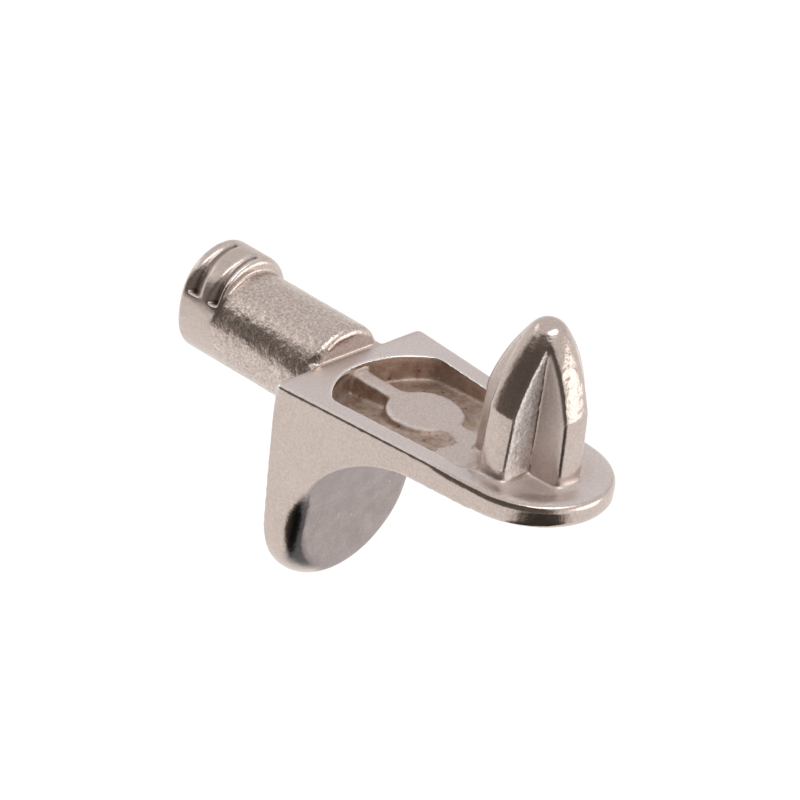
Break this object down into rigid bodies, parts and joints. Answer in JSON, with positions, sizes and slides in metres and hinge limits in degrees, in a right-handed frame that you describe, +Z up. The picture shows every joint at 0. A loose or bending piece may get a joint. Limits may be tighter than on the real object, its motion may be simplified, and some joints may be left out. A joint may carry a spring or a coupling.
{
  "type": "shelf support pin",
  "caption": "Cast plug-in shelf support: barbed round plug, flat arm with a sunk web and boss, a pointed ribbed locating peg, and a rounded leg that bears on the cabinet wall",
  "frame": {"origin": "where the plug's axis meets the flat back of the leg, at the cabinet wall", "axes": "+X from the wall out along the arm, the plug running along -X into the wall; +Z up, the way the peg points; +Y across the arm"},
  "size_m": [0.025, 0.0094, 0.0182],
  "materials": {
    "nickel": "satin nickel plate over a zinc casting"
  },
  "bodies": {
    "root": {"shelf_support": "nickel"}
  },
  "joints": []
}
